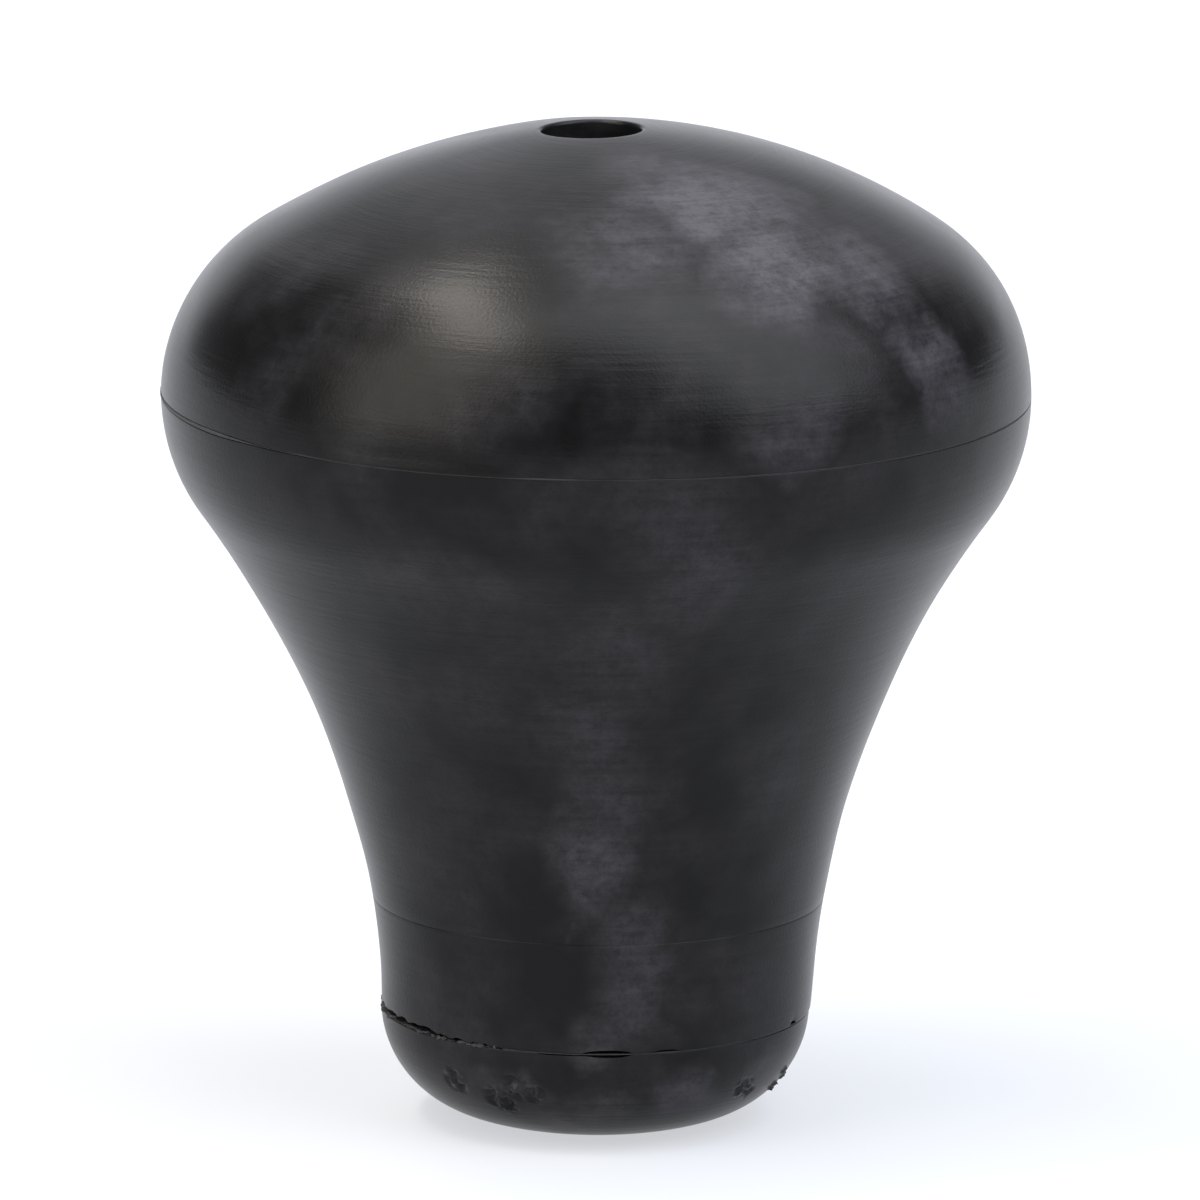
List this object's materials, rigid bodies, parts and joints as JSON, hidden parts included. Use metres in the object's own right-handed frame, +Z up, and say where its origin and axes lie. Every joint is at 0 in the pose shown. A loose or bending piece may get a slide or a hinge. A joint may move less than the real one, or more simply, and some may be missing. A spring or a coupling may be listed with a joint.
{
  "type": "dust blower bulb",
  "caption": "Hollow rubber blower bulb: domed top with an air hole, waisted flank and neck, rounded base it stands on.",
  "frame": {"origin": "centre of the flat foot that the bulb stands on", "axes": "+Z up along the axis of the bulb, out of the air hole; the air hole sits slightly towards -X"},
  "size_m": [0.05, 0.05, 0.0579],
  "materials": {
    "moulded_rubber": "satin black moulded rubber with fine turning lines and a faint grey bloom",
    "rubber_cement": "dull dried cement, slightly lighter than the rubber"
  },
  "bodies": {
    "base": {"base_plug": "moulded_rubber", "base_gum_ring": "rubber_cement", "body_shell": "moulded_rubber"},
    "dome": {"dome_shell": "moulded_rubber", "equator_gum_ring": "rubber_cement"}
  },
  "joints": [
    {"name": "squeeze", "type": "slide", "parent": "base", "child": "dome", "axis": [0, 0, -1], "range_m": [0, 0.01], "stiffness_N_per_m": 1500, "deforming": ["body_shell"]}
  ]
}
